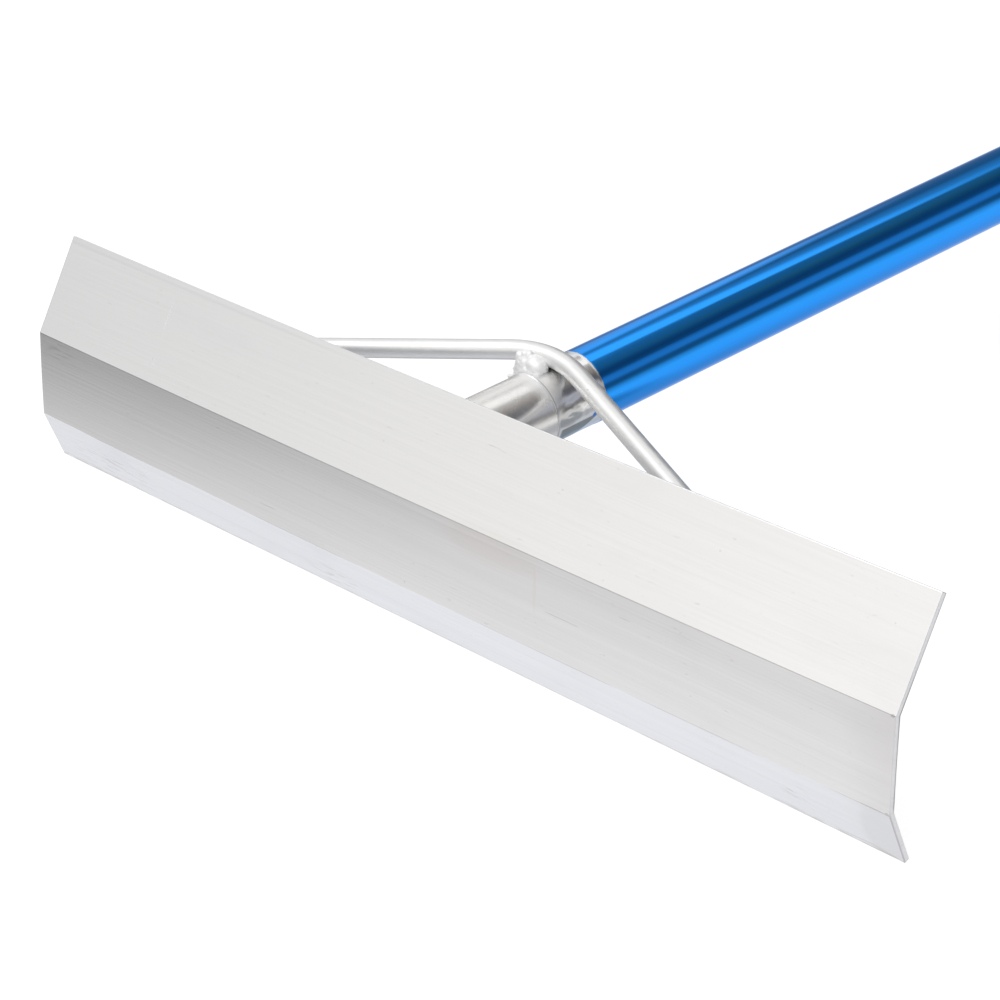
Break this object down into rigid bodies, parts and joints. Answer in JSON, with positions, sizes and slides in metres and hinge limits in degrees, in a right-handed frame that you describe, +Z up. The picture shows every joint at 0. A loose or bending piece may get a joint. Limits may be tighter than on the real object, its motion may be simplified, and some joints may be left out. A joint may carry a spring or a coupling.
{
  "type": "concrete placer",
  "caption": "Bent aluminium blade for pulling and placing wet concrete, welded to a long blue tubular handle and stiffened by a V-shaped rod brace.",
  "frame": {"origin": "on the floor, below the centre of the tool's bounding box, as the tool lies at rest on its blade lip and its handle end", "axes": "+Y along the handle from the blade to the free end (in plan), +X along the blade, +Z up"},
  "size_m": [0.4952, 1.531, 0.0982],
  "materials": {
    "blade_aluminium": "mill finish, fine lines along the blade",
    "neck_aluminium": "bright, smooth",
    "blue_anodised_aluminium": "glossy blue anodised, with a bare band at the joint",
    "rod_aluminium": "satin, lightly scuffed",
    "weld_aluminium": "frosty, rippled weld bead",
    "black_plastic": "moulded, matte"
  },
  "bodies": {
    "root": {"blade": "blade_aluminium", "neck_tube": "neck_aluminium", "handle_tube": "blue_anodised_aluminium", "joint_spigot": "neck_aluminium", "handle_end_plug": "black_plastic", "brace_rod": "rod_aluminium", "weld_neck_to_blade": "weld_aluminium", "weld_neck_to_handle": "weld_aluminium", "weld_brace_to_neck": "weld_aluminium", "weld_brace_end_left": "weld_aluminium", "weld_brace_end_right": "weld_aluminium"}
  },
  "joints": []
}
